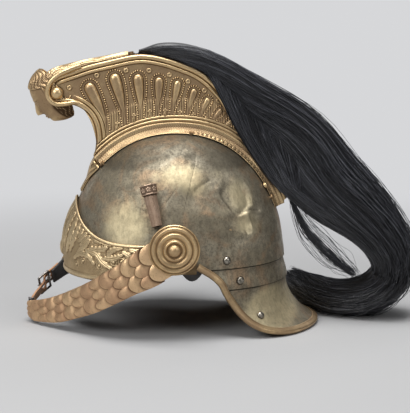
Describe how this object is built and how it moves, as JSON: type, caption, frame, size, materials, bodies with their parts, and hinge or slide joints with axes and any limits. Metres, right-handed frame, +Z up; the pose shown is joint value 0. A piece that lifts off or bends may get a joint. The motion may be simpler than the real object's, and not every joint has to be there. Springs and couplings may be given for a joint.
{
  "type": "cavalry helmet",
  "caption": "Steel cavalry helmet with a tall brass crest and mask, black horsehair mane, brass front band, jointed neck guard and a buckled chin strap of brass scales on ringed bosses.",
  "frame": {"origin": "middle of the head opening, level with the front band's lower edge", "axes": "-Y towards the wearer's front, +X towards the wearer's left, +Z up through the crest"},
  "size_m": [0.2204, 0.4031, 0.2893],
  "materials": {
    "steel": "satin, aged",
    "brass": "satin, dull with dark recesses",
    "scale_brass": "satin, worn to an orange tan",
    "iron": "dark, oiled",
    "black_leather": "matt",
    "tan_leather": "matt, worn",
    "horsehair": "coarse strands with a faint bluish sheen",
    "lace": "matt",
    "mane_core": "matt"
  },
  "bodies": {
    "shell": {"skull_bowl": "steel", "neck_lame": "steel", "neck_guard": "steel", "neck_guard_rim": "brass", "neck_rivets": "brass", "front_band": "brass", "crest_side_left": "brass", "crest_side_right": "brass", "crest_spine": "brass", "crest_gorge": "brass", "crest_cap": "brass", "crest_mask": "brass", "tuft_socket": "brass", "crest_brackets": "brass", "crest_bolts": "iron", "crest_nuts": "iron", "crest_screws": "brass", "boss_left": "brass", "boss_right": "brass", "boss_nuts": "iron", "plume_socket": "scale_brass", "plume_socket_rivets": "brass", "mane_rail": "mane_core", "mane_crown": "horsehair", "mane_flap_left": "horsehair", "mane_flap_right": "horsehair", "mane_fall": "horsehair", "mane_tail": "horsehair", "mane_lock": "horsehair", "sweatband": "tan_leather", "liner_tongues": "tan_leather", "liner_lace": "lace", "liner_rivets": "brass", "ear_tabs": "black_leather"},
    "chinstrap": {"chin_scales_left": "scale_brass", "chin_scales_right": "scale_brass", "strap_leather_left": "black_leather", "strap_leather_right": "black_leather", "strap_tongue": "tan_leather", "strap_buckle": "iron", "strap_keeper": "black_leather"},
    "prong": {"buckle_prong": "iron"}
  },
  "joints": [
    {"name": "chinstrap_swing", "type": "hinge", "parent": "shell", "child": "chinstrap", "pos_m": [0, -0.002, 0.039], "axis": [1, 0, 0], "range_deg": [-40, 60]},
    {"name": "prong_lift", "type": "hinge", "parent": "chinstrap", "child": "prong", "pos_m": [-0.02431, -0.13439, -0.01537], "axis": [-0.5297, 0.0897, -0.8434], "range_deg": [0, 60]}
  ]
}
